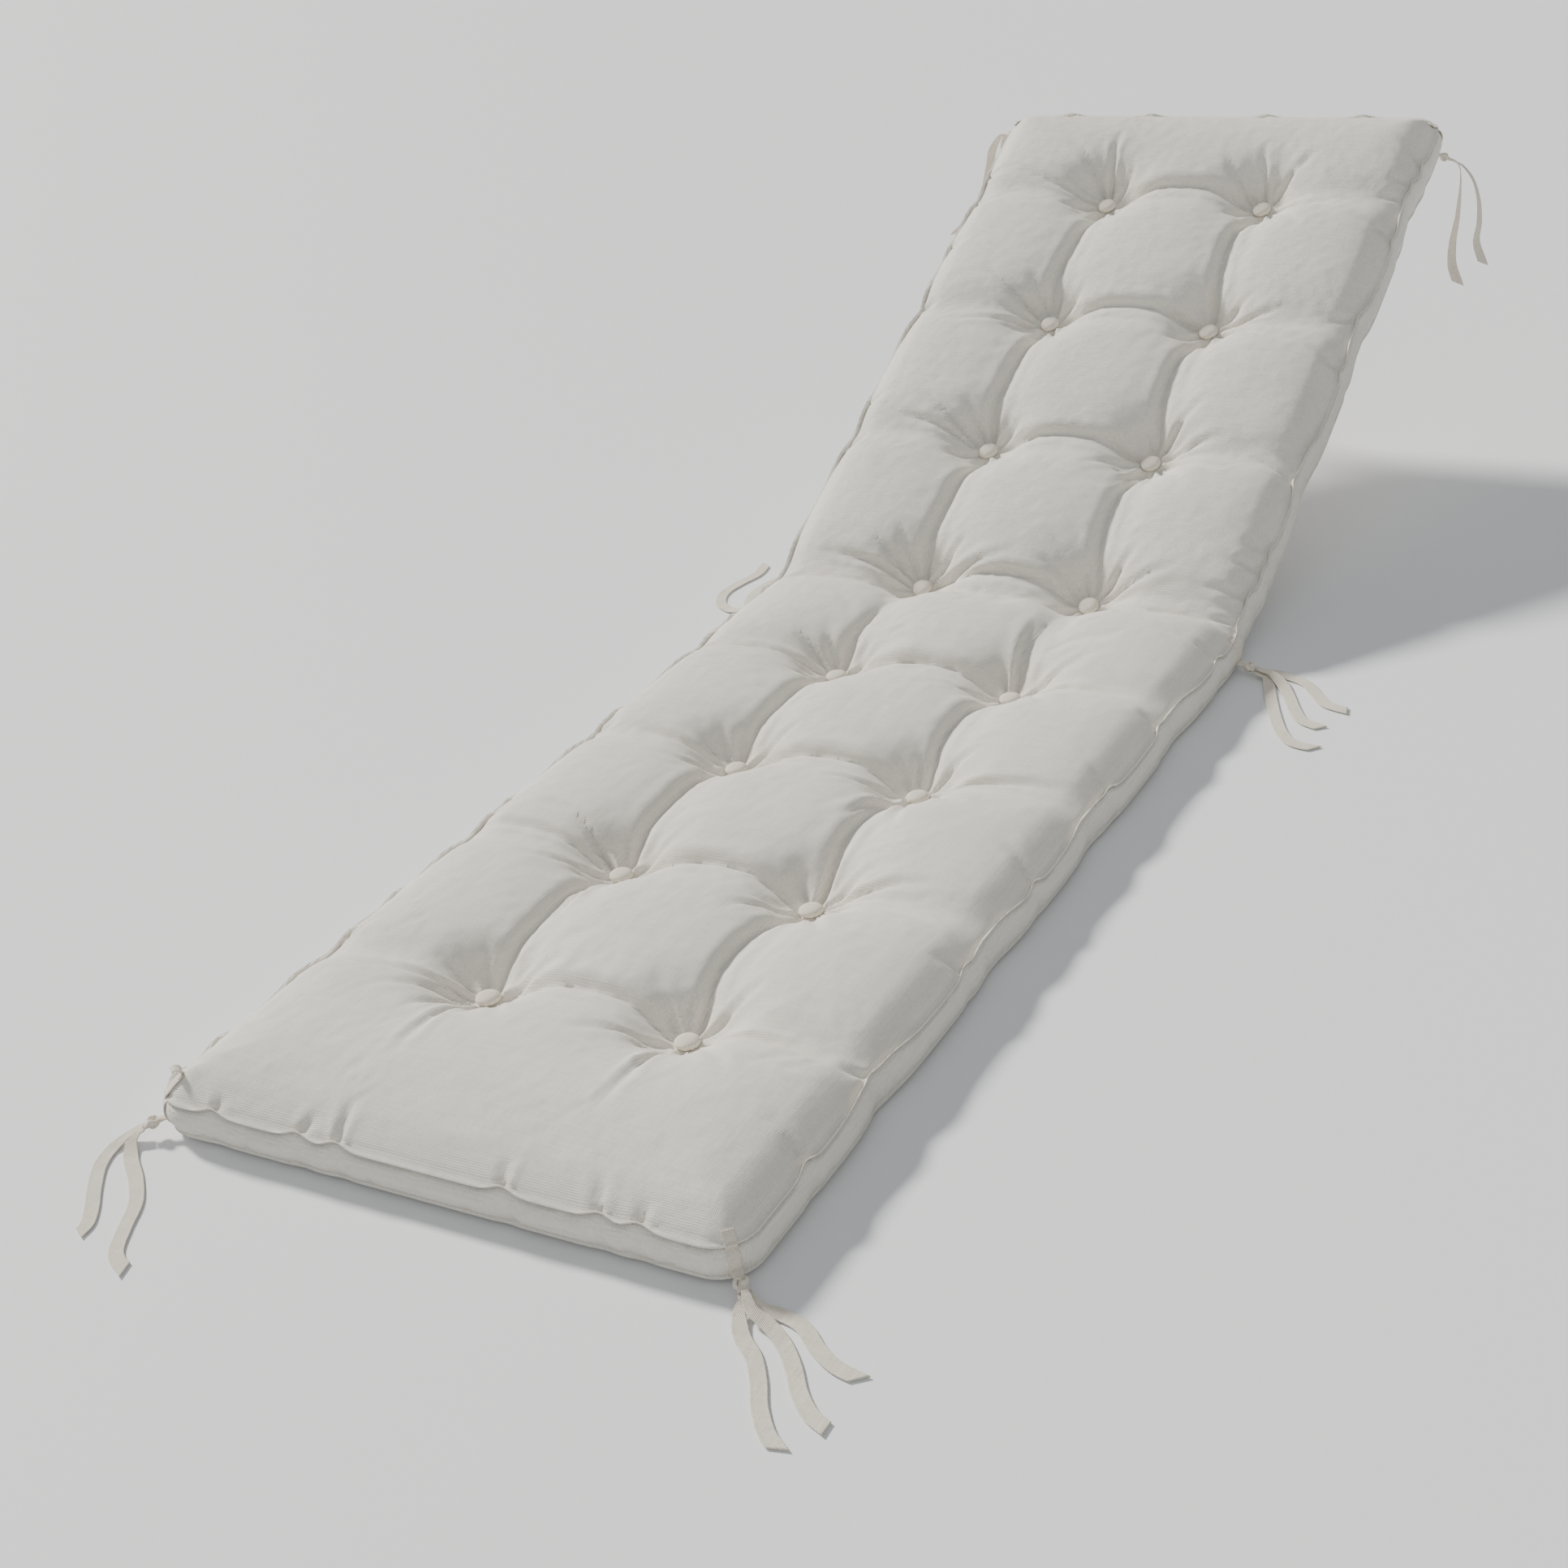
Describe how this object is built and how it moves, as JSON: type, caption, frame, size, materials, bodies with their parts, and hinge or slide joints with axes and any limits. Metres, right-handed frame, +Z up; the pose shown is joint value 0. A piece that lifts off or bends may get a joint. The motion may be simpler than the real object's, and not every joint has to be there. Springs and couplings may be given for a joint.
{
  "type": "sun lounger cushion",
  "caption": "Long button-tufted sun lounger cushion with a boxed border, bent at half length so that its back half rises, with knotted tie tapes at its corners and at the bend.",
  "frame": {"origin": "middle of the cushion's bounding box at the surface it rests on, without its ties", "axes": "+Y along the cushion from its foot edge to its raised head edge, +X across it, +Z up from the surface that it rests on"},
  "size_m": [0.8488, 2.0914, 0.4082],
  "materials": {
    "cover_fabric": "matt plain-woven cotton canvas, natural off-white",
    "button_fabric": "the cover's canvas drawn tight over a domed button",
    "tie_tape": "flat woven cotton tape, off-white"
  },
  "bodies": {
    "root": {"cushion": "cover_fabric", "button_1_left": "button_fabric", "button_1_right": "button_fabric", "button_2_left": "button_fabric", "button_2_right": "button_fabric", "button_3_left": "button_fabric", "button_3_right": "button_fabric", "button_4_left": "button_fabric", "button_4_right": "button_fabric", "button_5_left": "button_fabric", "button_5_right": "button_fabric", "button_6_left": "button_fabric", "button_6_right": "button_fabric", "button_7_left": "button_fabric", "button_7_right": "button_fabric", "button_8_left": "button_fabric", "button_8_right": "button_fabric", "knot_front_left": "tie_tape", "knot_front_right": "tie_tape", "knot_bend_left": "tie_tape", "knot_bend_right": "tie_tape", "knot_head_left": "tie_tape", "knot_head_right": "tie_tape", "tape_front_left_a": "tie_tape", "tape_front_left_b": "tie_tape", "tape_front_right_a": "tie_tape", "tape_front_right_b": "tie_tape", "tape_front_right_c": "tie_tape", "tape_bend_left_a": "tie_tape", "tape_bend_left_b": "tie_tape", "tape_bend_right_a": "tie_tape", "tape_bend_right_b": "tie_tape", "tape_bend_right_c": "tie_tape", "tape_head_left_a": "tie_tape", "tape_head_left_b": "tie_tape", "tape_head_right_a": "tie_tape", "tape_head_right_b": "tie_tape"}
  },
  "joints": []
}
